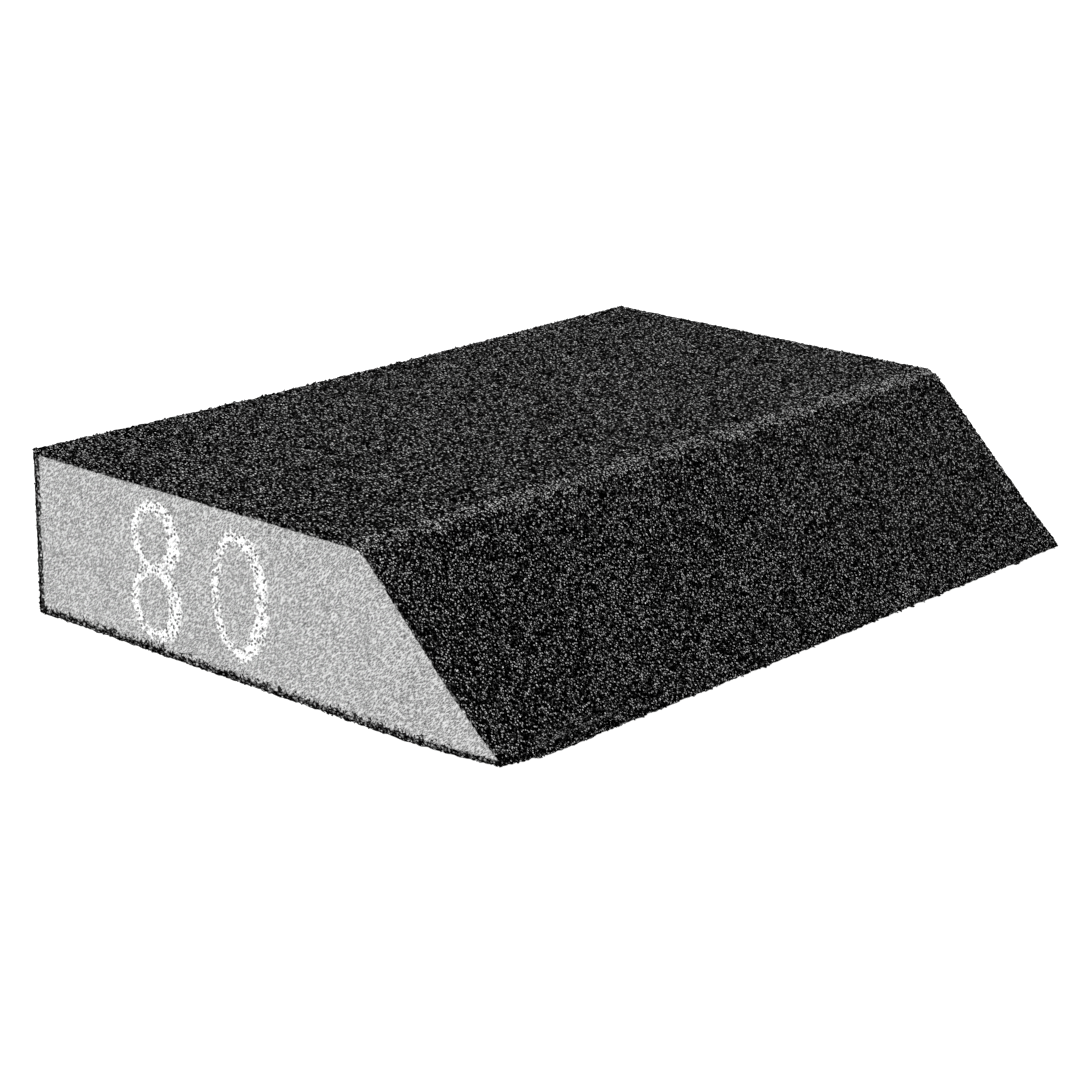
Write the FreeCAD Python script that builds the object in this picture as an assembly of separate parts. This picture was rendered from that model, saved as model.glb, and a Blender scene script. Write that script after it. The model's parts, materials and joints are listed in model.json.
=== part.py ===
import FreeCAD, Part
import os
import math

# Single-angle foam sanding block, in millimetres.
# X runs along the block, with the printed end at -X.  Y runs across it: the sloping face looks
# towards -Y and the upright back towards +Y.  Z is up.  The origin is on the sole, under the
# middle of the block's overall box.

# Overall sizes.
block_length = 125.0
block_height = 24.0
sole_width = 88.5  # across the sole, to the sharp corner that the tip is rounded from
slope_angle = 44.0  # degrees between the sole and the sloping face

# The two layers of the abrasive coat, which wraps the four long faces.
bond_thickness = 0.35
grit_thickness = 0.45

# Corner radii of the foam under the coat.
back_edge_radius = 0.4
nose_edge_radius = 4.5
tip_edge_radius = 0.3

# Numerals printed on the foam at the -X end.
ink_depth = 0.15
print_lower_margin = 1.9  # from the sole to the foot of the tallest numeral
print_upper_margin = 2.6
print_back_margin = 19.8  # from the coated back to the first numeral
numeral_gap = 6.0
eight_width = 10.0
eight_upper_width = 9.6
eight_waist_rise = 0.3  # of the crossing above the middle of the figure
zero_width = 10.8
zero_shortfall = 2.1  # the second numeral is that much less tall than the first
zero_rise = 0.35  # of its middle above the middle of the first
thin_stroke = 1.4
thick_stroke = 2.3
end_stroke = 1.5

coat_thickness = bond_thickness + grit_thickness
slope_radians = math.radians(slope_angle)
outer_tip_radius = tip_edge_radius + coat_thickness
tip_rounding = outer_tip_radius * (1 / math.tan(slope_radians / 2) - 1)
overall_width = sole_width - tip_rounding
back_y = overall_width / 2
tip_y = back_y - sole_width
nose_y = tip_y + block_height / math.tan(slope_radians)
near_x = -block_length / 2
eight_height = block_height - print_lower_margin - print_upper_margin
zero_height = eight_height - zero_shortfall
print_middle_height = print_lower_margin + eight_height / 2

# The four corners of the section, counter-clockwise seen from +X, and the face that follows each.
corners = [
    (tip_y, 0.0),
    (back_y, 0.0),
    (back_y, block_height),
    (nose_y, block_height),
]
foam_radii = [tip_edge_radius, back_edge_radius, back_edge_radius, nose_edge_radius]
face_names = ["sole", "back", "top", "slope"]


def direction(start, end):
    length = math.hypot(end[0] - start[0], end[1] - start[1])
    return ((end[0] - start[0]) / length, (end[1] - start[1]) / length)


def face_normal(index):
    along = direction(corners[index], corners[(index + 1) % len(corners)])
    return (along[1], -along[0])


def corner_at_depth(index, depth):
    """The corner of the section lying the given depth inside the outer faces."""
    before = face_normal((index - 1) % len(corners))
    after = face_normal(index)
    scale = depth / (1 + before[0] * after[0] + before[1] * after[1])
    y, z = corners[index]
    return (y - scale * (before[0] + after[0]), z - scale * (before[1] + after[1]))


def at_end(point):
    return FreeCAD.Vector(near_x, point[0], point[1])


def extrude_section(wire, length=block_length):
    return Part.Face(wire).extrude(FreeCAD.Vector(length, 0, 0))


def block_at_depth(depth):
    """The whole block, rounded along its edges, with the given depth of coat taken off."""
    points = [corner_at_depth(index, depth) for index in range(len(corners))]
    arc_edges = []
    for index, point in enumerate(points):
        radius = foam_radii[index] + coat_thickness - depth
        back = direction(point, points[index - 1])
        ahead = direction(point, points[(index + 1) % len(points)])
        half_angle = math.acos(back[0] * ahead[0] + back[1] * ahead[1]) / 2
        reach = radius / math.tan(half_angle)
        middle = direction((0, 0), (back[0] + ahead[0], back[1] + ahead[1]))
        crown = radius / math.sin(half_angle) - radius
        start = (point[0] + reach * back[0], point[1] + reach * back[1])
        top = (point[0] + crown * middle[0], point[1] + crown * middle[1])
        end = (point[0] + reach * ahead[0], point[1] + reach * ahead[1])
        arc_edges.append(Part.Arc(at_end(start), at_end(top), at_end(end)).toShape())
    edges = []
    for index, arc in enumerate(arc_edges):
        following = arc_edges[(index + 1) % len(arc_edges)]
        edges.append(arc)
        edges.append(Part.makeLine(arc.Vertexes[-1].Point, following.Vertexes[0].Point))
    return extrude_section(Part.Wire(edges))


def face_wedge(index):
    """The part of the block's surroundings that belongs to one long face, mitred at its corners."""
    following = (index + 1) % len(corners)
    outside = -coat_thickness
    inside = coat_thickness + max(foam_radii)
    outline = [
        corner_at_depth(index, outside),
        corner_at_depth(following, outside),
        corner_at_depth(following, inside),
        corner_at_depth(index, inside),
        corner_at_depth(index, outside),
    ]
    return extrude_section(Part.makePolygon([at_end(point) for point in outline]))


def oval(width, height, y, z):
    """An upright or lying oval plate let into the printed end, centred on y and z."""
    centre = FreeCAD.Vector(near_x, y, z)
    half_long = max(width, height) / 2
    half_short = min(width, height) / 2
    long_way = FreeCAD.Vector(0, 0, 1) if height >= width else FreeCAD.Vector(0, 1, 0)
    short_way = FreeCAD.Vector(1, 0, 0).cross(long_way)
    ellipse = Part.Ellipse(centre + long_way * half_long, centre + short_way * half_short, centre)
    return extrude_section(Part.Wire([ellipse.toShape()]), ink_depth)


def loop(width, height, y, z):
    """A closed stroke, thin on the side towards the back and thick on the side towards the tip."""
    hole_width = width - thin_stroke - thick_stroke
    hole_height = height - 2 * end_stroke
    hole_y = y + (thick_stroke - thin_stroke) / 2
    return oval(width, height, y, z), oval(hole_width, hole_height, hole_y, z)


def printed_zero(y):
    outside, hole = loop(zero_width, zero_height, y, print_middle_height + zero_rise)
    return outside.cut(hole)


def printed_eight(y):
    waist = print_middle_height + eight_waist_rise
    bottom = print_middle_height - eight_height / 2
    top = print_middle_height + eight_height / 2
    lower_height = waist + end_stroke / 2 - bottom
    upper_height = top - waist + end_stroke / 2
    lower, lower_hole = loop(eight_width, lower_height, y, bottom + lower_height / 2)
    upper, upper_hole = loop(eight_upper_width, upper_height, y, top - upper_height / 2)
    return lower.fuse(upper).removeSplitter().cut(lower_hole).cut(upper_hole)


# The foam core, bare at both ends, with a shallow bed where the ink has soaked in.
eight_y = back_y - print_back_margin - eight_width / 2
zero_y = eight_y - eight_width / 2 - numeral_gap - zero_width / 2
eight = printed_eight(eight_y)
zero = printed_zero(zero_y)
foam = block_at_depth(coat_thickness)
nodes = {
    "foam_core": foam.cut(eight).cut(zero),
    "printed_eight": eight,
    "printed_zero": zero,
}

# The coat: an adhesive layer on the foam and the bonded grains over it, laid face by face.
bonded_block = block_at_depth(grit_thickness)
bond_ring = bonded_block.cut(foam)
grit_ring = block_at_depth(0).cut(bonded_block)
for index, face in enumerate(face_names):
    wedge = face_wedge(index)
    nodes[face + "_bond_coat"] = bond_ring.common(wedge)
    nodes[face + "_grit_coat"] = grit_ring.common(wedge)

os.makedirs("parts", exist_ok=True)
for name, shape in nodes.items():
    solids = shape.Solids
    if len(solids) != 1:
        raise ValueError(name + " is not one solid")
    solids[0].exportStep(os.path.join("parts", name + ".step"))
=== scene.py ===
import json
import math

import bpy
import numpy as np
from mathutils import Matrix, Vector
from mathutils.geometry import delaunay_2d_cdt


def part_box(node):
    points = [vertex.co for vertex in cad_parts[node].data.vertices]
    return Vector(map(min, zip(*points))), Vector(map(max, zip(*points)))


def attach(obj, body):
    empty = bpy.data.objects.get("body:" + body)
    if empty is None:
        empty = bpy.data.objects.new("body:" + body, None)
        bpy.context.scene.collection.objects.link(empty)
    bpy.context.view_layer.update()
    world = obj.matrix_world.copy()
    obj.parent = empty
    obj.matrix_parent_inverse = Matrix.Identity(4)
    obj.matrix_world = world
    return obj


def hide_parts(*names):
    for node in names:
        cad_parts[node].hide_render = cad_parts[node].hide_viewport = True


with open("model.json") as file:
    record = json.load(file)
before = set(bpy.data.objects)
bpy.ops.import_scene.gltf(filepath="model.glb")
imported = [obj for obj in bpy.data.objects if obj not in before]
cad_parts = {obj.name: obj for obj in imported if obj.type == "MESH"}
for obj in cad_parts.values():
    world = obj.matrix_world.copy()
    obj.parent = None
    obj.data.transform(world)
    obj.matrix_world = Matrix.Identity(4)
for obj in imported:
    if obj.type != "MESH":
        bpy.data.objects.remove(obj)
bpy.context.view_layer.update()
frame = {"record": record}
mm = 0.001

# ------------------------------------------------------------------------------------------
# Foam core
# A bar of fine-celled polyurethane foam with a trapezium section, coated on its four long
# faces and then cut square at both ends, so that the ends show the cut cells.
# ------------------------------------------------------------------------------------------
foam_low, foam_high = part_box("foam_core")
bond_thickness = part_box("top_bond_coat")[1].z - foam_high.z
grit_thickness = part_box("top_grit_coat")[1].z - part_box("top_bond_coat")[1].z
coat_thickness = bond_thickness + grit_thickness
block_height = foam_high.z + coat_thickness
slope_axis = next(m["axis"] for m in frame["record"]["mounts"] if m["name"] == "slope")
slope_angle = math.atan2(-slope_axis[1], slope_axis[2])
tip_edge_radius = 0.3 * mm
back_edge_radius = 0.4 * mm
nose_edge_radius = 4.5 * mm

# Each rounded edge is an arc: its centre, the radius of the foam there, and the direction in
# which the mitre between its two faces lies, as an angle from +Y towards +Z.
sharp_tip_y = foam_low.y - tip_edge_radius * (1 / math.tan(slope_angle / 2) - 1)
nose_y = sharp_tip_y + (foam_high.z - foam_low.z) / math.tan(slope_angle)
edges = {
    "tip": (
        sharp_tip_y + tip_edge_radius / math.tan(slope_angle / 2),
        foam_low.z + tip_edge_radius,
        tip_edge_radius,
        math.radians(180) + slope_angle / 2,
    ),
    "heel": (
        foam_high.y - back_edge_radius,
        foam_low.z + back_edge_radius,
        back_edge_radius,
        math.radians(-45),
    ),
    "back_top": (
        foam_high.y - back_edge_radius,
        foam_high.z - back_edge_radius,
        back_edge_radius,
        math.radians(45),
    ),
    "nose": (
        nose_y + nose_edge_radius * math.tan(slope_angle / 2),
        foam_high.z - nose_edge_radius,
        nose_edge_radius,
        math.radians(90) + slope_angle / 2,
    ),
}
# Each long face runs from one rounded edge to the next, facing the angle given.
faces = {
    "sole": ("tip", "heel", math.radians(-90)),
    "back": ("heel", "back_top", 0.0),
    "top": ("back_top", "nose", math.radians(90)),
    "slope": ("nose", "tip", math.radians(90) + slope_angle),
}


def face_outline(face, pitch):
    """Points on the foam's section along one face, from mitre to mitre, and their normals."""
    start, end, facing = faces[face]

    def arc(edge, first, last):
        y, z, radius, _ = edges[edge]
        turns = max(2, math.ceil(abs(last - first) * (radius + coat_thickness) / pitch) + 1)
        angle = np.linspace(first, last, turns)
        outward = np.stack([np.cos(angle), np.sin(angle)], 1)
        return np.array([y, z]) + radius * outward, outward

    mitre = edges[start][3]
    if mitre - facing > math.pi:
        mitre -= 2 * math.pi
    first_arc, first_normals = arc(start, mitre, facing)
    last_arc, last_normals = arc(end, facing, edges[end][3])
    length = np.linalg.norm(last_arc[0] - first_arc[-1])
    share = np.linspace(0, 1, math.ceil(length / pitch) + 1)[1:-1, None]
    line = first_arc[-1] * (1 - share) + last_arc[0] * share
    flat = np.repeat(first_normals[-1:], len(line), 0)
    points = np.concatenate([first_arc, line, last_arc])
    return points, np.concatenate([first_normals, flat, last_normals])


def fixed_random(i, j, k, seed):
    """A repeatable number from 0 to 1 for each point of a whole-number lattice."""
    mixed = np.sin(i * 127.1 + j * 311.7 + k * 74.7 + seed * 53.3) * 43758.5453
    return mixed - np.floor(mixed)


def noise(points, size, seed):
    """Smooth random values from 0 to 1 over points (n, 3), with features of the given size."""
    scaled = points / size
    cell = np.floor(scaled)
    part = scaled - cell
    part = part * part * (3 - 2 * part)
    total = np.zeros(len(points))
    for corner in np.ndindex(2, 2, 2):
        weight = np.prod(np.where(corner, part, 1 - part), axis=1)
        total += weight * fixed_random(*(cell + corner).T, seed)
    return total


# How far the real block departs from a perfect one, at most.
waviness = 0.16 * mm
sag_depth = 0.42 * mm
far_end_swelling = 0.12 * mm
back_coat_thinning = 0.40 * mm
thin_edge_push = 0.55 * mm
thin_edge_point = 0.75 * mm
near_corner_upturn = 1.05 * mm


def settle(points):
    """Moves points of the perfect block to where the real, slightly bent and worn one has them."""
    moved = points.copy()
    centred = points - np.array([0, 0, block_height / 2])
    height = np.clip(points[:, 2] / block_height, 0, 1)
    for axis in (1, 2):
        wave = noise(centred, 23 * mm, 90 + axis) - 0.5
        moved[:, axis] += waviness * wave * (height if axis == 2 else 1)
    # The bar sags between its ends, most along the back, and is a little thicker at the far end.
    sag = np.clip(1 - ((points[:, 0] + 12 * mm) / (53 * mm)) ** 2, 0, 1)
    backward = np.clip(0.5 + points[:, 1] / (60 * mm), 0, 1)
    moved[:, 2] -= sag_depth * sag * height * backward
    moved[:, 2] += far_end_swelling * np.clip(points[:, 0] / foam_high.x, 0, 1) ** 2 * height
    # The two back edges are squarer than an even coat would have them.
    for edge, upward, strength in (("heel", -1, 0.75), ("back_top", 1, 0.3)):
        outward = np.maximum(points[:, 1] - edges[edge][0], 0)
        away = np.maximum((points[:, 2] - edges[edge][1]) * upward, 0)
        farther = np.maximum(np.maximum(outward, away), 0.001 * mm)
        square = strength * (np.hypot(outward, away) / farther - 1)
        moved[:, 1] += np.maximum(square, 0) * outward
        moved[:, 2] += np.maximum(square, 0) * away * upward
    # The coat was spread thinner on the back than on the other faces.
    over_foam = points[:, 1] - foam_high.y
    thinned = np.minimum(1 + over_foam / (3 * mm), 1 - over_foam / coat_thickness)
    moved[:, 1] += back_coat_thinning * np.clip(thinned, 0, 1)
    # The thin edge is squeezed outwards to a point, and turned up where the cut crossed it.
    thin = np.clip((foam_low.y + 7 * mm - points[:, 1]) / (8 * mm), 0, 1)
    moved[:, 1] -= thin_edge_push * thin * np.clip(1 - points[:, 2] / (8 * mm), 0, 1)
    pinched = np.clip((edges["tip"][0] - 0.2 * mm - points[:, 1]) / (0.9 * mm), 0, 1)
    moved[:, 1] -= thin_edge_point * pinched * np.clip(1 - np.abs(points[:, 2] / mm - 0.5), 0, 1)
    across = np.clip((foam_low.y + 14 * mm - points[:, 1]) / (15 * mm), 0, 1)
    along = np.clip(1 - (points[:, 0] - foam_low.x) / (9 * mm), 0, 1)
    low = np.clip(1 - points[:, 2] / (9 * mm), 0, 1)
    moved[:, 2] += near_corner_upturn * across**1.3 * along**1.2 * low
    # The block rests on its lowest grains, and nothing goes through the table.
    moved[:, 2] = np.maximum(moved[:, 2], 0)
    return moved


def make_piece(name, points, polygons, material):
    mesh = bpy.data.meshes.new(name)
    mesh.from_pydata(settle(points).tolist(), [], polygons)
    mesh.update()
    mesh.shade_smooth()
    mesh.materials.append(material)
    piece = bpy.data.objects.new(name, mesh)
    bpy.context.scene.collection.objects.link(piece)
    return piece


def give_map(piece, flat, hidden):
    """Lays the piece out flat at one place (u, v) per point. Faces that never show, the True ones
    in hidden, are shrunk into a corner of the map."""
    mesh = piece.data
    point = np.zeros(len(mesh.loops), np.int32)
    mesh.loops.foreach_get("vertex_index", point)
    sides = np.zeros(len(mesh.polygons), np.int32)
    mesh.polygons.foreach_get("loop_total", sides)
    shrink = np.where(np.repeat(hidden, sides), 0.008, 1.0)[:, None]
    layer = mesh.uv_layers.new(name="OFBake")
    layer.data.foreach_set("uv", (flat[point] * shrink).astype(np.float32).ravel())


def add_node(tree, kind, inputs=None, **settings):
    """Adds one shader node, with values or other nodes' outputs given to its inputs."""
    made = tree.nodes.new(kind)
    for key, value in settings.items():
        setattr(made, key, value)
    for key, value in (inputs or {}).items():
        if isinstance(value, bpy.types.NodeSocket):
            tree.links.new(value, made.inputs[key])
        else:
            made.inputs[key].default_value = value
    return made


def grey_ramp(tree, factor, stops, interpolation="LINEAR"):
    ramp = add_node(tree, "ShaderNodeValToRGB", {"Fac": factor})
    ramp.color_ramp.interpolation = interpolation
    while len(ramp.color_ramp.elements) < len(stops):
        ramp.color_ramp.elements.new(0.5)
    for element, (position, level) in zip(ramp.color_ramp.elements, stops):
        element.position = position
        element.color = (level, level, level, 1)
    return ramp.outputs["Color"]


def start_group(name, inputs, outputs):
    """A shader node group with named inputs {name: default} and outputs {name: socket type}."""
    tree = bpy.data.node_groups.new(name, "ShaderNodeTree")
    for key, value in inputs.items():
        socket = tree.interface.new_socket(key, in_out="INPUT", socket_type="NodeSocketFloat")
        socket.default_value = value
    for key, kind in outputs.items():
        tree.interface.new_socket(key, in_out="OUTPUT", socket_type=kind)
    return tree, tree.nodes.new("NodeGroupInput").outputs, tree.nodes.new("NodeGroupOutput").inputs


def start_material(name):
    material = bpy.data.materials.new(name)
    material.use_nodes = True
    shader = material.node_tree.nodes["Principled BSDF"]
    return material, material.node_tree, shader


# Cut foam cells: a pitted pattern drawn out along the strokes of the blade.
streak_angle = math.radians(41)  # of the strokes, from +Y down towards -Z
cells_tree, cells_in, cells_out = start_group(
    "cut foam cells",
    {"Cell Size mm": 0.15, "Streak Angle": streak_angle},
    {"Tone And Pit Shade": "NodeSocketFloat", "Height": "NodeSocketFloat"},
)
place = add_node(cells_tree, "ShaderNodeTexCoord").outputs["Object"]
in_mm = add_node(
    cells_tree, "ShaderNodeVectorMath", {0: place, "Scale": 1 / mm}, operation="SCALE"
).outputs[0]
turned = add_node(
    cells_tree,
    "ShaderNodeVectorRotate",
    {"Vector": in_mm, "Angle": cells_in["Streak Angle"]},
    rotation_type="X_AXIS",
).outputs[0]
drawn_out = add_node(
    cells_tree, "ShaderNodeVectorMath", {0: turned, 1: (1, 0.30, 1)}, operation="MULTIPLY"
).outputs[0]
sized = add_node(
    cells_tree,
    "ShaderNodeMath",
    {0: 1.0, 1: cells_in["Cell Size mm"]},
    operation="DIVIDE",
).outputs[0]
cells = add_node(
    cells_tree, "ShaderNodeTexVoronoi", {"Vector": drawn_out, "Scale": sized, "Randomness": 1.0}
).outputs
fine = add_node(
    cells_tree,
    "ShaderNodeTexNoise",
    {"Vector": drawn_out, "Scale": 7.0, "Detail": 1.0, "Roughness": 0.6},
).outputs["Fac"]
wall = add_node(
    cells_tree,
    "ShaderNodeMapRange",
    {"Value": cells["Distance"], 1: 0.15, 2: 0.75, 3: 0.0, 4: 1.0},
).outputs[0]
# The tone output is partly the cells' own pattern and partly painted shade: darker in the pits, lighter
# on the cell walls, the same value as the height.
mixed = add_node(
    cells_tree, "ShaderNodeMix", {"Factor": 0.45, 2: wall, 3: fine}, data_type="FLOAT"
).outputs[0]
cells_tree.links.new(mixed, cells_out["Tone And Pit Shade"])
cells_tree.links.new(mixed, cells_out["Height"])

foam_material, tree, shader = start_material("light_grey_cut_foam")
cut = add_node(tree, "ShaderNodeGroup", node_tree=cells_tree).outputs
place = add_node(tree, "ShaderNodeTexCoord").outputs["Object"]
# The foam's tone from the cut cells, with painted shade darkening the pits of the cut.
base_tone = grey_ramp(tree, cut["Tone And Pit Shade"], [(0.12, 0.06), (0.35, 0.22), (0.55, 0.43), (0.82, 0.80)])
cloud = add_node(
    tree, "ShaderNodeTexNoise", {"Vector": place, "Scale": 160.0, "Detail": 3.0}
).outputs["Fac"]
cloud = grey_ramp(tree, cloud, [(0.3, 0.94), (0.7, 1.04)])
toned = add_node(
    tree, "ShaderNodeMix", {"Factor": 1.0, 6: base_tone, 7: cloud}, data_type="RGBA",
    blend_type="MULTIPLY",
).outputs[2]
# Painted shade: a few torn-open pores are drawn as dark spots, standing in for the shade inside them.
pore_shade = add_node(
    tree, "ShaderNodeTexVoronoi", {"Vector": place, "Scale": 1 / (1.1 * mm), "Randomness": 1.0}
).outputs["Distance"]
pore_shade = grey_ramp(tree, pore_shade, [(0.10, 0.35), (0.20, 1.0)])
toned = add_node(
    tree, "ShaderNodeMix", {"Factor": 0.8, 6: toned, 7: pore_shade}, data_type="RGBA",
    blend_type="MULTIPLY",
).outputs[2]
# Adhesive from the coats on the sole and the back has wicked into the nearest cells.
spot = add_node(tree, "ShaderNodeSeparateXYZ", {0: place}).outputs
from_sole = add_node(
    tree, "ShaderNodeMapRange", {"Value": spot["Z"], 1: foam_low.z, 2: foam_low.z + 1.3 * mm}
).outputs[0]
from_back = add_node(
    tree, "ShaderNodeMapRange", {"Value": spot["Y"], 1: foam_high.y, 2: foam_high.y - 0.5 * mm}
).outputs[0]
nearest = add_node(
    tree, "ShaderNodeMath", {0: from_sole, 1: from_back}, operation="MINIMUM"
).outputs[0]
wick = add_node(
    tree, "ShaderNodeTexNoise", {"Vector": place, "Scale": 2300.0, "Detail": 1.5, "Roughness": 0.6}
).outputs["Fac"]
needed = add_node(
    tree, "ShaderNodeMapRange", {"Value": nearest, 3: 0.45, 4: 0.74}
).outputs[0]
soaked = add_node(
    tree, "ShaderNodeMath", {0: wick, 1: needed}, operation="GREATER_THAN"
).outputs[0]
toned = add_node(
    tree, "ShaderNodeMix", {"Factor": soaked, 6: toned, 7: (0.012, 0.012, 0.012, 1)},
    data_type="RGBA",
).outputs[2]
tree.links.new(toned, shader.inputs["Base Color"])
shader.inputs["Roughness"].default_value = 0.95
shader.inputs["Specular IOR Level"].default_value = 0.15
bump = add_node(
    tree, "ShaderNodeBump", {"Height": cut["Height"], "Strength": 0.5, "Distance": 0.06 * mm}
).outputs[0]
tree.links.new(bump, shader.inputs["Normal"])


streak_squeeze = 0.34  # how much closer together noise is read along a stroke


def along_streaks(yz, end):
    """Points on a cut end, turned and squeezed so that noise over them is drawn into streaks."""
    y, z = yz.T
    along = (y * math.cos(streak_angle) - z * math.sin(streak_angle)) * streak_squeeze
    aside = y * math.sin(streak_angle) + z * math.cos(streak_angle)
    return np.stack([y * 0 + end, along, aside], 1)


def cut_relief(yz, end):
    """How far the sawn foam stands back from the plane of the cut."""
    streak = along_streaks(yz, end)
    flat = np.stack([yz[:, 0] * 0 + end, yz[:, 0], yz[:, 1]], 1)
    deep = 0.03 * mm * noise(flat, 0.5 * mm, 11) + 0.05 * mm * noise(streak, 0.34 * mm, 12)
    return deep + 0.10 * mm * noise(flat, 6 * mm, 13)


outline_pitch = 0.36 * mm
ring = []
for face in faces:
    points, _ = face_outline(face, outline_pitch)
    ring.extend(points[:-1])
ring = np.array(ring)

# A jittered honeycomb of points fills each cut end inside the outline.
cell_pitch = 0.27 * mm
rows = np.arange(foam_low.z + cell_pitch, foam_high.z, cell_pitch * 0.87)
columns = np.arange(foam_low.y + cell_pitch, foam_high.y, cell_pitch)
grid_y, grid_z = np.meshgrid(columns, rows)
grid_y = grid_y + (np.arange(len(rows)) % 2)[:, None] * cell_pitch / 2
spots = np.stack([grid_y.ravel(), grid_z.ravel()], 1)
jitter = np.random.default_rng(7).uniform(-0.28, 0.28, spots.shape) * cell_pitch
spots = spots + jitter
in_slope = (spots[:, 0] - sharp_tip_y) * math.sin(slope_angle) - (
    spots[:, 1] - foam_low.z
) * math.cos(slope_angle)
clear = 0.2 * mm
inside = (in_slope > clear) & (spots[:, 0] < foam_high.y - clear)
inside &= (spots[:, 1] > foam_low.z + clear) & (spots[:, 1] < foam_high.z - clear)
near_nose = (spots[:, 1] > foam_high.z - nose_edge_radius) & (
    spots[:, 0] < edges["nose"][0]
)
from_centre = np.hypot(spots[:, 0] - edges["nose"][0], spots[:, 1] - edges["nose"][1])
inside &= ~near_nose | (from_centre < nose_edge_radius - clear)
inside &= spots[:, 0] >= edges["tip"][0]
spots = spots[inside]

flat_points = [Vector(p) for p in np.concatenate([ring, spots])]
cap = delaunay_2d_cdt(flat_points, [], [list(range(len(ring)))], 1, 1e-7)
cap_yz = np.array(cap[0])
cap_faces = [list(face) for face in cap[2]]
on_ring = np.arange(len(cap_yz)) < len(ring)
points = []
polygons = []
for end_x, inward in ((foam_low.x, 1), (foam_high.x, -1)):
    sunk = cut_relief(cap_yz, end_x) * np.where(on_ring, 0.4, 1)
    start = len(points) * len(cap_yz)
    points.append(np.stack([end_x + inward * sunk, cap_yz[:, 0], cap_yz[:, 1]], 1))
    for face in cap_faces:
        corner_ids = [start + corner for corner in face]
        polygons.append(corner_ids[::-1] if inward > 0 else corner_ids)
# Flat strips under the coat join the outlines of the two ends.
far = len(cap_yz)
count = len(ring)
for index in range(count):
    after = (index + 1) % count
    polygons.append([index, after, far + after, far + index])
foam = make_piece("foam_core_cut", np.concatenate(points), polygons, foam_material)
share = (cap_yz - [foam_low.y, foam_low.z]) / [
    foam_high.y - foam_low.y,
    foam_high.z - foam_low.z,
]
near_map = share * [0.96, 0.45] + [0.02, 0.03]
far_map = share * [0.96, 0.45] + [0.02, 0.53]
give_map(
    foam,
    np.concatenate([near_map, far_map]),
    np.arange(len(polygons)) >= len(polygons) - count,
)
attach(foam, "root")
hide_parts("foam_core")

# ------------------------------------------------------------------------------------------
# Printed numerals
# The grade, in white ink rolled thinly on the cut end. The ink catches the cell walls and
# misses the pits, so its strokes are ragged and full of pinholes.
# ------------------------------------------------------------------------------------------
ink_material, tree, shader = start_material("white_print_ink")
cut = add_node(
    tree, "ShaderNodeGroup", {"Cell Size mm": 0.22, "Streak Angle": streak_angle},
    node_tree=cells_tree,
).outputs
# Painted shade: the ink is drawn dimmer where it lies in the pits of the cut foam.
tone = grey_ramp(tree, cut["Tone And Pit Shade"], [(0.2, 0.4), (0.40, 0.92), (0.55, 1.0)])
place = add_node(tree, "ShaderNodeTexCoord").outputs["Object"]
# Painted shade: dark pinholes in the ink's colour, standing in for the shadowed pits of the foam under
# it.
pinhole_shade_cells = add_node(
    tree, "ShaderNodeTexVoronoi", {"Vector": place, "Scale": 1 / (0.52 * mm), "Randomness": 1.0}
).outputs
hole = grey_ramp(tree, pinhole_shade_cells["Distance"], [(0.28, 0.04), (0.40, 1.0)])
tone = add_node(
    tree, "ShaderNodeMix", {"Factor": 1.0, 6: tone, 7: hole}, data_type="RGBA",
    blend_type="MULTIPLY",
).outputs[2]
tree.links.new(tone, shader.inputs["Base Color"])
shader.inputs["Roughness"].default_value = 0.8
shader.inputs["Specular IOR Level"].default_value = 0.2
bump = add_node(
    tree, "ShaderNodeBump", {"Height": cut["Height"], "Strength": 0.3, "Distance": 0.05 * mm}
).outputs[0]
tree.links.new(bump, shader.inputs["Normal"])

thin_stroke = 1.4 * mm
thick_stroke = 2.3 * mm
end_stroke = 1.5 * mm
eight_waist_rise = 0.3 * mm
eight_upper_width = 9.6 * mm
film_pitch = 0.13 * mm
film_thickness = 0.05 * mm


def oval_depth(y, z, centre_y, centre_z, width, height):
    """Roughly how far each point lies inside an oval; negative outside."""
    radius = np.hypot((y - centre_y) / (width / 2), (z - centre_z) / (height / 2))
    return (1 - radius) * min(width, height) / 2


def loop_depth(y, z, centre_y, centre_z, width, height):
    hole_y = centre_y + (thick_stroke - thin_stroke) / 2
    hole_width = width - thin_stroke - thick_stroke
    hole_height = height - 2 * end_stroke
    outer = oval_depth(y, z, centre_y, centre_z, width, height)
    hole = oval_depth(y, z, hole_y, centre_z, hole_width, hole_height)
    return np.minimum(outer, -hole), hole


def zero_depth(y, z, low, high):
    middle = (low + high) / 2
    size = high - low
    return loop_depth(y, z, middle.y, middle.z, size.y, size.z)[0]


def eight_depth(y, z, low, high):
    middle = (low + high) / 2
    waist = middle.z + eight_waist_rise
    lower_top = waist + end_stroke / 2
    upper_foot = waist - end_stroke / 2
    lower, lower_hole = loop_depth(
        y, z, middle.y, (low.z + lower_top) / 2, high.y - low.y, lower_top - low.z
    )
    upper, upper_hole = loop_depth(
        y, z, middle.y, (upper_foot + high.z) / 2, eight_upper_width, high.z - upper_foot
    )
    stroke = np.maximum(lower, upper)
    return np.minimum(stroke, -np.maximum(lower_hole, upper_hole))


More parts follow.
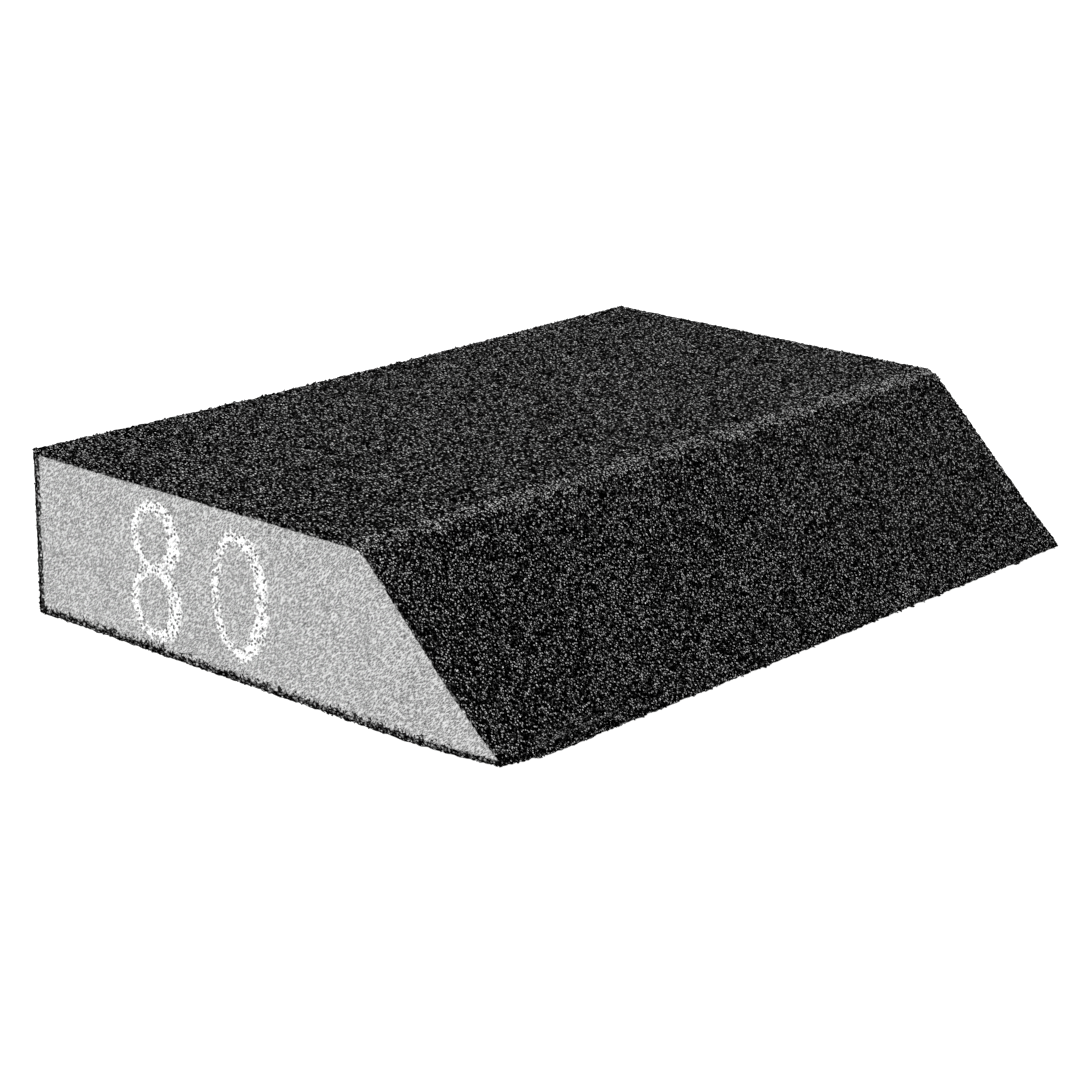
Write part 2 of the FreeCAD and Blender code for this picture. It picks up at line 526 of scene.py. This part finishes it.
def ink_film(name, node, depth_of):
    low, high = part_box(node)
    spread = 0.5 * mm
    ys = np.arange(low.y - spread, high.y + spread, film_pitch)
    zs = np.arange(low.z - spread, high.z + spread, film_pitch)
    middle_y, middle_z = np.meshgrid(ys[:-1] + film_pitch / 2, zs[:-1] + film_pitch / 2)
    flat = np.stack([middle_y.ravel() * 0, middle_y.ravel(), middle_z.ravel()], 1)
    depth = depth_of(flat[:, 1], flat[:, 2], low, high)
    ragged = 0.7 * mm * (noise(flat, 0.30 * mm, 31) - 0.5) + 0.2 * mm * (
        noise(flat, 1.6 * mm, 32) - 0.5
    )
    # Dashes along the strokes of the blade stay bare.
    dashes = along_streaks(flat[:, 1:], 0)
    missed = noise(dashes, 0.22 * mm, 33) > 0.73 - 0.12 * noise(flat, 2.5 * mm, 34)
    inked = ((depth + ragged > -0.07 * mm) & ~missed).reshape(middle_y.shape)
    node_y, node_z = np.meshgrid(ys, zs)
    yz = np.stack([node_y.ravel(), node_z.ravel()], 1)
    surface = foam_low.x + cut_relief(yz, foam_low.x) * 0.8
    count = len(yz)
    front = np.stack([surface - film_thickness, yz[:, 0], yz[:, 1]], 1)
    behind = np.stack([surface + 2 * film_thickness, yz[:, 0], yz[:, 1]], 1)
    width = len(ys)
    polygons = []
    padded = np.pad(inked, 1)
    for row, column in zip(*np.nonzero(inked)):
        a = row * width + column
        b = a + 1
        c = a + width + 1
        d = a + width
        polygons.append([a, d, c, b])
        polygons.append([count + a, count + b, count + c, count + d])
        if not padded[row, column + 1]:
            polygons.append([a, b, count + b, count + a])
        if not padded[row + 2, column + 1]:
            polygons.append([c, d, count + d, count + c])
        if not padded[row + 1, column]:
            polygons.append([d, a, count + a, count + d])
        if not padded[row + 1, column + 2]:
            polygons.append([b, c, count + c, count + b])
    points = np.concatenate([front, behind])
    used = np.unique(np.array(polygons))
    renumber = np.full(len(points), -1)
    renumber[used] = np.arange(len(used))
    polygons = renumber[np.array(polygons)].tolist()
    film = make_piece(name, points[used], polygons, ink_material)
    flat_map = (points[used][:, 1:] - [ys[0], zs[0]]) / [ys[-1] - ys[0], zs[-1] - zs[0]]
    give_map(film, flat_map, np.zeros(len(polygons), bool))
    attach(film, "root")
    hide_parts(node)


ink_film("ink_figure_eight", "printed_eight", eight_depth)
ink_film("ink_figure_zero", "printed_zero", zero_depth)

# ------------------------------------------------------------------------------------------
# Bond coats
# The flexible black adhesive that holds the grains, one layer on each long face. It shows
# only at the cut ends, where it has smeared and wicked into the nearest cells.
# ------------------------------------------------------------------------------------------
grains_tree, grains_in, grains_out = start_group(
    "bonded grains",
    {"Grain Size mm": 0.34, "Painted Glint Share": 0.14},
    {"Colour": "NodeSocketColor", "Roughness": "NodeSocketFloat", "Height": "NodeSocketFloat"},
)
place = add_node(grains_tree, "ShaderNodeTexCoord").outputs["Object"]
# The coat was spread across the block, and its grains lie a little drawn out that way.
in_mm = add_node(
    grains_tree, "ShaderNodeVectorMath", {0: place, 1: (950, 500, 1000)}, operation="MULTIPLY"
).outputs[0]
sized = add_node(
    grains_tree, "ShaderNodeMath", {0: 1.0, 1: grains_in["Grain Size mm"]}, operation="DIVIDE"
).outputs[0]
grain = add_node(
    grains_tree, "ShaderNodeTexVoronoi", {"Vector": in_mm, "Scale": sized, "Randomness": 1.0}
).outputs
own = add_node(grains_tree, "ShaderNodeSeparateColor", {0: grain["Color"]}).outputs
cloud = add_node(
    grains_tree, "ShaderNodeTexNoise", {"Vector": in_mm, "Scale": 0.55, "Detail": 3.0}
).outputs["Fac"]
shift = add_node(
    grains_tree, "ShaderNodeMapRange", {"Value": cloud, 1: 0.3, 2: 0.7, 3: -0.03, 4: 0.03}
).outputs[0]
share = add_node(
    grains_tree, "ShaderNodeMath", {0: shift, 1: grains_in["Painted Glint Share"]}, operation="ADD"
).outputs[0]
chance = add_node(
    grains_tree, "ShaderNodeMath", {0: own[0], 1: share}, operation="ADD"
).outputs[0]
# The grains' colour: near black, with darker and lighter grains of their own, and a share of bright
# grains that are painted glints, facets lit up in the colour.
level = grey_ramp(
    grains_tree,
    chance,
    [(0.0, 0.0), (0.50, 0.002), (0.74, 0.028), (0.91, 0.19), (1.0, 0.85)],
)
# Painted glint: a few more grains are lit up in the colour, as if a facet caught the light.
glint = grey_ramp(grains_tree, own[1], [(0.95, 0.0), (0.985, 0.8)])
level = add_node(
    grains_tree, "ShaderNodeMix", {"Factor": 1.0, 6: level, 7: glint}, data_type="RGBA",
    blend_type="ADD",
).outputs[2]
# Painted shade: the colour darkens from each grain's middle into the gaps between grains; the same
# falloff gives the grains their height.
between = add_node(
    grains_tree,
    "ShaderNodeMapRange",
    {"Value": grain["Distance"], 1: 0.22, 2: 0.58, 3: 1.15, 4: 0.0},
).outputs[0]
level = add_node(
    grains_tree, "ShaderNodeMix", {"Factor": 1.0, 6: level, 7: between}, data_type="RGBA",
    blend_type="MULTIPLY",
).outputs[2]
rough = add_node(
    grains_tree, "ShaderNodeMapRange", {"Value": own[2], 3: 0.42, 4: 0.85}
).outputs[0]
standing = add_node(
    grains_tree, "ShaderNodeMath", {0: own[1], 1: between}, operation="MULTIPLY"
).outputs[0]
grains_tree.links.new(level, grains_out["Colour"])
grains_tree.links.new(rough, grains_out["Roughness"])
grains_tree.links.new(standing, grains_out["Height"])

bond_material, tree, shader = start_material("black_bond_adhesive")
# The adhesive's grains, with fewer painted glints than the grit.
held = add_node(
    tree, "ShaderNodeGroup", {"Grain Size mm": 0.36, "Painted Glint Share": -0.05}, node_tree=grains_tree
).outputs
place = add_node(tree, "ShaderNodeTexCoord").outputs["Object"]
flecks = add_node(
    tree, "ShaderNodeTexNoise", {"Vector": place, "Scale": 3000.0, "Detail": 1.0}
).outputs["Fac"]
flecks = grey_ramp(tree, flecks, [(0.52, 0.0), (0.62, 0.16), (0.74, 0.5)])
colour = add_node(
    tree, "ShaderNodeMix", {"Factor": 1.0, 6: held["Colour"], 7: flecks}, data_type="RGBA",
    blend_type="ADD",
).outputs[2]
tree.links.new(colour, shader.inputs["Base Color"])
tree.links.new(held["Roughness"], shader.inputs["Roughness"])
shader.inputs["Specular IOR Level"].default_value = 0.0
bump = add_node(
    tree, "ShaderNodeBump", {"Height": held["Height"], "Strength": 0.6, "Distance": 0.12 * mm}
).outputs[0]
tree.links.new(bump, shader.inputs["Normal"])

# How far the adhesive has wicked past its own layer, at most, on each face.
wicking = {"sole": 0.13 * mm, "back": 0.10 * mm, "top": 0.16 * mm, "slope": 0.16 * mm}


bend_depth = 0.62 * mm  # where the coat's cut edge turns in to follow the foam
fringe_lift = 0.03 * mm  # of the smeared fringe over the cut foam
fringe_root = 0.2 * mm
layer_root = 0.5 * mm


def cut_end(points, end_x, outward):
    """The ragged plane where the blade went through the coat."""
    moved = points.copy()
    moved[:, 0] = end_x + outward * 0.16 * mm * (noise(points, 0.5 * mm, 41) - 0.45)
    return moved


def at_depth(base, normals, depth, x):
    """Points on the section at a depth under the block's outer surface."""
    depth = np.broadcast_to(depth, len(base))
    flat = base + normals * (coat_thickness - depth)[:, None]
    return np.concatenate([np.broadcast_to(x, (len(base), 1)), flat], 1)


for face in faces:
    base, normals = face_outline(face, 0.3 * mm)
    count = len(base)
    lines = []
    for end_x, outward in ((foam_low.x, -1), (foam_high.x, 1)):
        seat = at_depth(base, normals, coat_thickness, end_x)
        fringe = noise(seat, 0.3 * mm, 43) * 0.9 + noise(seat, 1.7 * mm, 44) * 0.4
        reach = wicking[face] * np.clip((fringe - 0.42) * 1.9, 0, 1)
        reach[0] = reach[-1] = 0
        fringe_x = end_x + outward * fringe_lift
        lines.append(cut_end(at_depth(base, normals, grit_thickness, end_x), end_x, outward))
        lines.append(cut_end(at_depth(base, normals, bend_depth, end_x), end_x, outward))
        lines.append(at_depth(base, normals, coat_thickness + reach, fringe_x))
        under_x = end_x - outward * fringe_root
        lines.append(at_depth(base, normals, coat_thickness + reach, under_x))
        lines.append(at_depth(base, normals, coat_thickness, end_x - outward * layer_root))
    points = np.concatenate(lines)
    loop = [0, 1, 2, 3, 4, 9, 8, 7, 6, 5]
    polygons = []
    for index in range(len(loop)):
        first = loop[index] * count
        second = loop[(index + 1) % len(loop)] * count
        for step in range(count - 1):
            polygons.append([first + step, second + step, second + step + 1, first + step + 1])
    polygons.append([line * count for line in loop[::-1]])
    polygons.append([line * count + count - 1 for line in loop])
    bond = make_piece(face + "_bond", points, polygons, bond_material)
    run = np.tile(np.linspace(0.02, 0.98, count), 10)
    rise = np.repeat([0.06, 0.2, 0.34, 0.44, 0.48, 0.56, 0.7, 0.84, 0.94, 0.98], count)
    shown = np.repeat([True, True, True, False, False, False, True, True, True, False], count - 1)
    give_map(bond, np.stack([run, rise], 1), np.append(~shown, [True, True]))
    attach(bond, "root")
    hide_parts(face + "_bond_coat")

# ------------------------------------------------------------------------------------------
# Grit coats
# Crushed black grains, a fifth to two fifths of a millimetre across, packed over the adhesive on each
# long face. Some stand proud, and along the rounded nose the grains are painted brighter, a painted
# highlight.
# ------------------------------------------------------------------------------------------
grit_material, tree, shader = start_material("black_abrasive_grit")
place = add_node(tree, "ShaderNodeTexCoord").outputs["Object"]
spot = add_node(tree, "ShaderNodeSeparateXYZ", {0: place}).outputs
# Painted highlight: more grains are drawn bright in a patchy band along the rounded nose.
ridge_y = nose_y + 0.1 * mm
side = add_node(tree, "ShaderNodeMath", {0: spot["Y"], 1: ridge_y}, operation="SUBTRACT").outputs[0]
rise = add_node(tree, "ShaderNodeMath", {0: spot["Z"], 1: block_height}, operation="SUBTRACT").outputs[0]
offset = add_node(tree, "ShaderNodeCombineXYZ", {"Y": side, "Z": rise}).outputs[0]
from_ridge = add_node(
    tree, "ShaderNodeVectorMath", {0: offset}, operation="LENGTH"
).outputs["Value"]
patchy = add_node(
    tree, "ShaderNodeTexNoise", {"Vector": place, "Scale": 420.0, "Detail": 3.0}
).outputs["Fac"]
width = add_node(
    tree, "ShaderNodeMapRange", {"Value": patchy, 1: 0.3, 2: 0.7, 3: 0.95 * mm, 4: 2.1 * mm}
).outputs[0]
nearness = add_node(tree, "ShaderNodeMath", {0: from_ridge, 1: width}, operation="DIVIDE").outputs[0]
nose_highlight = add_node(
    tree, "ShaderNodeMapRange", {"Value": nearness, 1: 0.4, 2: 1.2, 3: 0.28, 4: 0.0}
).outputs[0]
share = add_node(tree, "ShaderNodeMath", {0: nose_highlight, 1: 0.11}, operation="ADD").outputs[0]
held = add_node(
    tree, "ShaderNodeGroup", {"Grain Size mm": 0.175, "Painted Glint Share": share}, node_tree=grains_tree
).outputs
tree.links.new(held["Colour"], shader.inputs["Base Color"])
tree.links.new(held["Roughness"], shader.inputs["Roughness"])
shader.inputs["Specular IOR Level"].default_value = 0.0
bump = add_node(
    tree, "ShaderNodeBump", {"Height": held["Height"], "Strength": 0.8, "Distance": 0.15 * mm}
).outputs[0]
tree.links.new(bump, shader.inputs["Normal"])

grain_pitch = {"sole": 0.50 * mm, "back": 0.38 * mm, "top": 0.36 * mm, "slope": 0.34 * mm}
relief_depth = 0.44 * mm
sole_lift = 0.16 * mm  # of the sole's middle level over the grains that it rests on
end_share = 0.18  # of the loose grains lie at a cut end
edge_share = 0.10  # and along a long edge
proud_grains = {"sole": 3000, "back": 2000, "top": 9200, "slope": 6000}
length = foam_high.x - foam_low.x


def coat_relief(points):
    """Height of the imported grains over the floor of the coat, as a share of its relief."""
    packed = noise(points, 0.34 * mm, 51)
    clumps = noise(points, 0.95 * mm, 52)
    waves = noise(points, 3.4 * mm, 53)
    return 0.62 * packed + 0.23 * clumps + 0.15 * waves


def loose_grains(rng, base, normals, count):
    """Angular grains scattered over one face, each an irregular eight-sided crystal."""
    along = rng.uniform(foam_low.x, foam_high.x, count)
    at_end = rng.random(count) < end_share
    past_end = rng.uniform(-0.10, 0.06, count) * mm
    nearer = np.where(along > 0, foam_high.x + past_end, foam_low.x - past_end)
    along = np.where(at_end, nearer, along)
    steps = np.linalg.norm(np.diff(base + normals * coat_thickness, axis=0), axis=1)
    distance = np.concatenate([[0], np.cumsum(steps)])
    where = rng.uniform(0, distance[-1], count)
    at_edge = rng.random(count) < edge_share
    inset = rng.uniform(0, 1.3, count) * mm
    nearer = np.where(where < distance[-1] / 2, inset, distance[-1] - inset)
    where = np.where(at_edge, nearer, where)
    surface = base + normals * coat_thickness
    yz = np.stack([np.interp(where, distance, surface[:, axis]) for axis in (0, 1)], 1)
    facing = np.stack([np.interp(where, distance, normals[:, axis]) for axis in (0, 1)], 1)
    facing /= np.linalg.norm(facing, axis=1)[:, None]
    size = rng.uniform(0.10, 0.20, count) * mm
    size *= np.where(at_edge, rng.uniform(1.0, 1.8, count), 1)
    depth = rng.uniform(-0.08, 0.10, count) * mm
    depth += sole_lift * np.clip(-facing[:, 1], 0, 1)
    depth += at_end * rng.uniform(0.0, 0.5, count) * mm
    centre = np.concatenate([along[:, None], yz - facing * depth[:, None]], 1)
    poles = np.array([[1, 0, 0], [-1, 0, 0], [0, 1, 0], [0, -1, 0], [0, 0, 1], [0, 0, -1]])
    stretch = rng.uniform(0.55, 1.45, (count, 6, 1))
    turn, _ = np.linalg.qr(rng.normal(size=(count, 3, 3)))
    turn *= np.sign(np.linalg.det(turn))[:, None, None]
    corners = (poles * stretch) @ turn * size[:, None, None] + centre[:, None]
    facets = np.array(
        [[0, 2, 4], [2, 1, 4], [1, 3, 4], [3, 0, 4], [2, 0, 5], [1, 2, 5], [3, 1, 5], [0, 3, 5]]
    )
    polygons = facets[None] + 6 * np.arange(count)[:, None, None]
    tangent = np.stack([-facing[:, 1], facing[:, 0]], 1)
    offset = corners - centre[:, None]
    slid = where[:, None] + (offset[..., 1:] * tangent[:, None]).sum(2)
    flat = np.stack([(corners[..., 0] - foam_low.x) / length, slid / distance[-1]], 2)
    return corners.reshape(-1, 3), polygons.reshape(-1, 3), flat.reshape(-1, 2)


for number, face in enumerate(faces):
    rng = np.random.default_rng(100 + number)
    base, normals = face_outline(face, grain_pitch[face])
    stations = np.linspace(foam_low.x, foam_high.x, math.ceil(length / grain_pitch[face]) + 1)
    across = len(base)
    lines = len(stations)
    surface = base + normals * coat_thickness
    yz = np.broadcast_to(surface, (lines, across, 2)).copy()
    x = np.broadcast_to(stations[:, None], (lines, across)).copy()
    x[1:-1, 1:-1] += rng.uniform(-0.3, 0.3, (lines - 2, across - 2)) * grain_pitch[face]
    tangent = np.stack([-normals[:, 1], normals[:, 0]], 1)
    slide = rng.uniform(-0.3, 0.3, (lines - 2, across - 2, 1)) * grain_pitch[face]
    flat_enough = np.abs(np.diff(normals, axis=0)).sum(1) < 1e-6
    free = (flat_enough[:-1] & flat_enough[1:])[None, :, None]
    yz[1:-1, 1:-1] += tangent[None, 1:-1] * slide * free
    skin = np.concatenate([x[..., None], yz], 2).reshape(-1, 3)
    out = np.concatenate([np.zeros((across, 1)), normals], 1)
    out = np.broadcast_to(out, (lines, across, 3)).reshape(-1, 3)
    raised = relief_depth * (coat_relief(skin) - 0.45)
    raised -= sole_lift * np.clip(-out[:, 2], 0, 1)
    skin = skin + out * raised[:, None]
    for row, outward in ((0, -1), (lines - 1, 1)):
        band = slice(row * across, (row + 1) * across)
        skin[band] = cut_end(skin[band], stations[row], outward)
    inner_near = cut_end(
        at_depth(base, normals, grit_thickness, foam_low.x), foam_low.x, -1
    )
    inner_far = cut_end(
        at_depth(base, normals, grit_thickness, foam_high.x), foam_high.x, 1
    )
    # Each cell of the skin is split along one of its diagonals, picked at random.
    corner = np.arange(lines * across).reshape(lines, across)
    quads = np.stack(
        [corner[:-1, :-1], corner[1:, :-1], corner[1:, 1:], corner[:-1, 1:]], 2
    ).reshape(-1, 4)
    swap = rng.random(len(quads)) < 0.5
    a, b, c, d = quads.T
    first = np.where(swap[:, None], np.stack([a, b, c], 1), np.stack([a, b, d], 1))
    second = np.where(swap[:, None], np.stack([a, c, d], 1), np.stack([b, c, d], 1))
    polygons = np.concatenate([first, second])[:, ::-1].tolist()
    # Strips close the coat at both cut ends and underneath, and one face closes each mitre.
    near = lines * across
    far = near + across
    last = (lines - 1) * across
    for step in range(across - 1):
        polygons.append([step, near + step, near + step + 1, step + 1][::-1])
        polygons.append([near + step, far + step, far + step + 1, near + step + 1][::-1])
        polygons.append([far + step, last + step, last + step + 1, far + step + 1][::-1])
    first_side = [row * across for row in range(lines)]
    last_side = [row * across + across - 1 for row in range(lines)]
    polygons.append(first_side + [far, near])
    polygons.append((last_side + [far + across - 1, near + across - 1])[::-1])
    points = [skin, inner_near, inner_far]
    grains, facets, grain_map = loose_grains(rng, base, normals, proud_grains[face])
    polygons.extend((facets + far + across).tolist())
    points.append(grains)
    grit = make_piece(face + "_grit", np.concatenate(points), polygons, grit_material)
    along, around = np.meshgrid(
        np.linspace(0, 1, lines), np.linspace(0, 1, across), indexing="ij"
    )
    edge_map = np.stack([np.zeros(across), np.linspace(0, 1, across)], 1)
    flat = np.concatenate(
        [
            np.stack([along.ravel(), around.ravel()], 1),
            edge_map - [0.01, 0],
            edge_map + [1.01, 0],
            grain_map,
        ]
    )
    flat = np.clip(flat, -0.01, 1.01) * [0.96, 0.92] + [0.02, 0.06]
    hidden = np.zeros(len(polygons), bool)
    shown = 2 * (lines - 1) * (across - 1)
    hidden[shown + 1 : shown + 3 * (across - 1) : 3] = True
    hidden[shown + 3 * (across - 1) : shown + 3 * (across - 1) + 2] = True
    give_map(grit, flat, hidden)
    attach(grit, "root")
    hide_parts(face + "_grit_coat")

# ------------------------------------------------------------------------------------------
# Studio
# A seamless white table under broad, soft, overhead light, and the camera at the height of
# someone looking down at the block from its printed end.
# ------------------------------------------------------------------------------------------
table_material, tree, shader = start_material("white_studio_table")
shader.inputs["Base Color"].default_value = (0.3, 0.3, 0.3, 1)
shader.inputs["Roughness"].default_value = 1.0
shader.inputs["Specular IOR Level"].default_value = 0.0
shader.inputs["Emission Color"].default_value = (1, 1, 1, 1)
shader.inputs["Emission Strength"].default_value = 1.0
table_mesh = bpy.data.meshes.new("studio_table")
reach = 3.0
table_mesh.from_pydata(
    [(-reach, -reach, 0), (reach, -reach, 0), (reach, reach, 0), (-reach, reach, 0)],
    [],
    [(0, 1, 2, 3)],
)
table_mesh.materials.append(table_material)
table = bpy.data.objects.new("studio_table", table_mesh)
bpy.context.scene.collection.objects.link(table)

world = bpy.data.worlds.new("studio_air")
bpy.context.scene.world = world
world.use_nodes = True
seen = add_node(world.node_tree, "ShaderNodeLightPath").outputs["Is Camera Ray"]
brightness = add_node(
    world.node_tree, "ShaderNodeMapRange", {"Value": seen, 3: 0.42, 4: 1.05}
).outputs[0]
air = world.node_tree.nodes["Background"]
air.inputs["Color"].default_value = (1, 1, 1, 1)
world.node_tree.links.new(brightness, air.inputs["Strength"])


def soft_light(name, place, aim, size, power):
    lamp = bpy.data.lights.new(name, "AREA")
    lamp.shape = "SQUARE"
    lamp.size = size
    lamp.energy = power
    light = bpy.data.objects.new(name, lamp)
    light.location = place
    light.rotation_euler = (Vector(aim) - Vector(place)).to_track_quat("-Z", "Y").to_euler()
    bpy.context.scene.collection.objects.link(light)


soft_light("overhead_softbox", (-0.15, 0.30, 0.9), (0, 0, 0), 0.6, 6.0)
soft_light("end_softbox", (-0.9, -0.1, 0.5), (0, 0, 0), 0.5, 1.5)

camera_data = bpy.data.cameras.new("studio_camera")
camera_data.lens = 92.28
camera_data.sensor_width = 36.0
camera_data.clip_start = 0.02
camera = bpy.data.objects.new("studio_camera", camera_data)
bpy.context.scene.collection.objects.link(camera)
camera_place = Vector((-0.29186, -0.25022, 0.12651))
camera_aim = Vector((-0.00361, 0.00239, 0.00637))
look = (camera_aim - camera_place).to_track_quat("-Z", "Y").to_matrix()
roll = Matrix.Rotation(math.radians(0.839), 3, "Z")
camera.rotation_mode = "QUATERNION"
camera.rotation_quaternion = (look @ roll).to_quaternion()
camera.location = camera_place
bpy.context.scene.camera = camera
bpy.context.scene.view_settings.view_transform = "Standard"
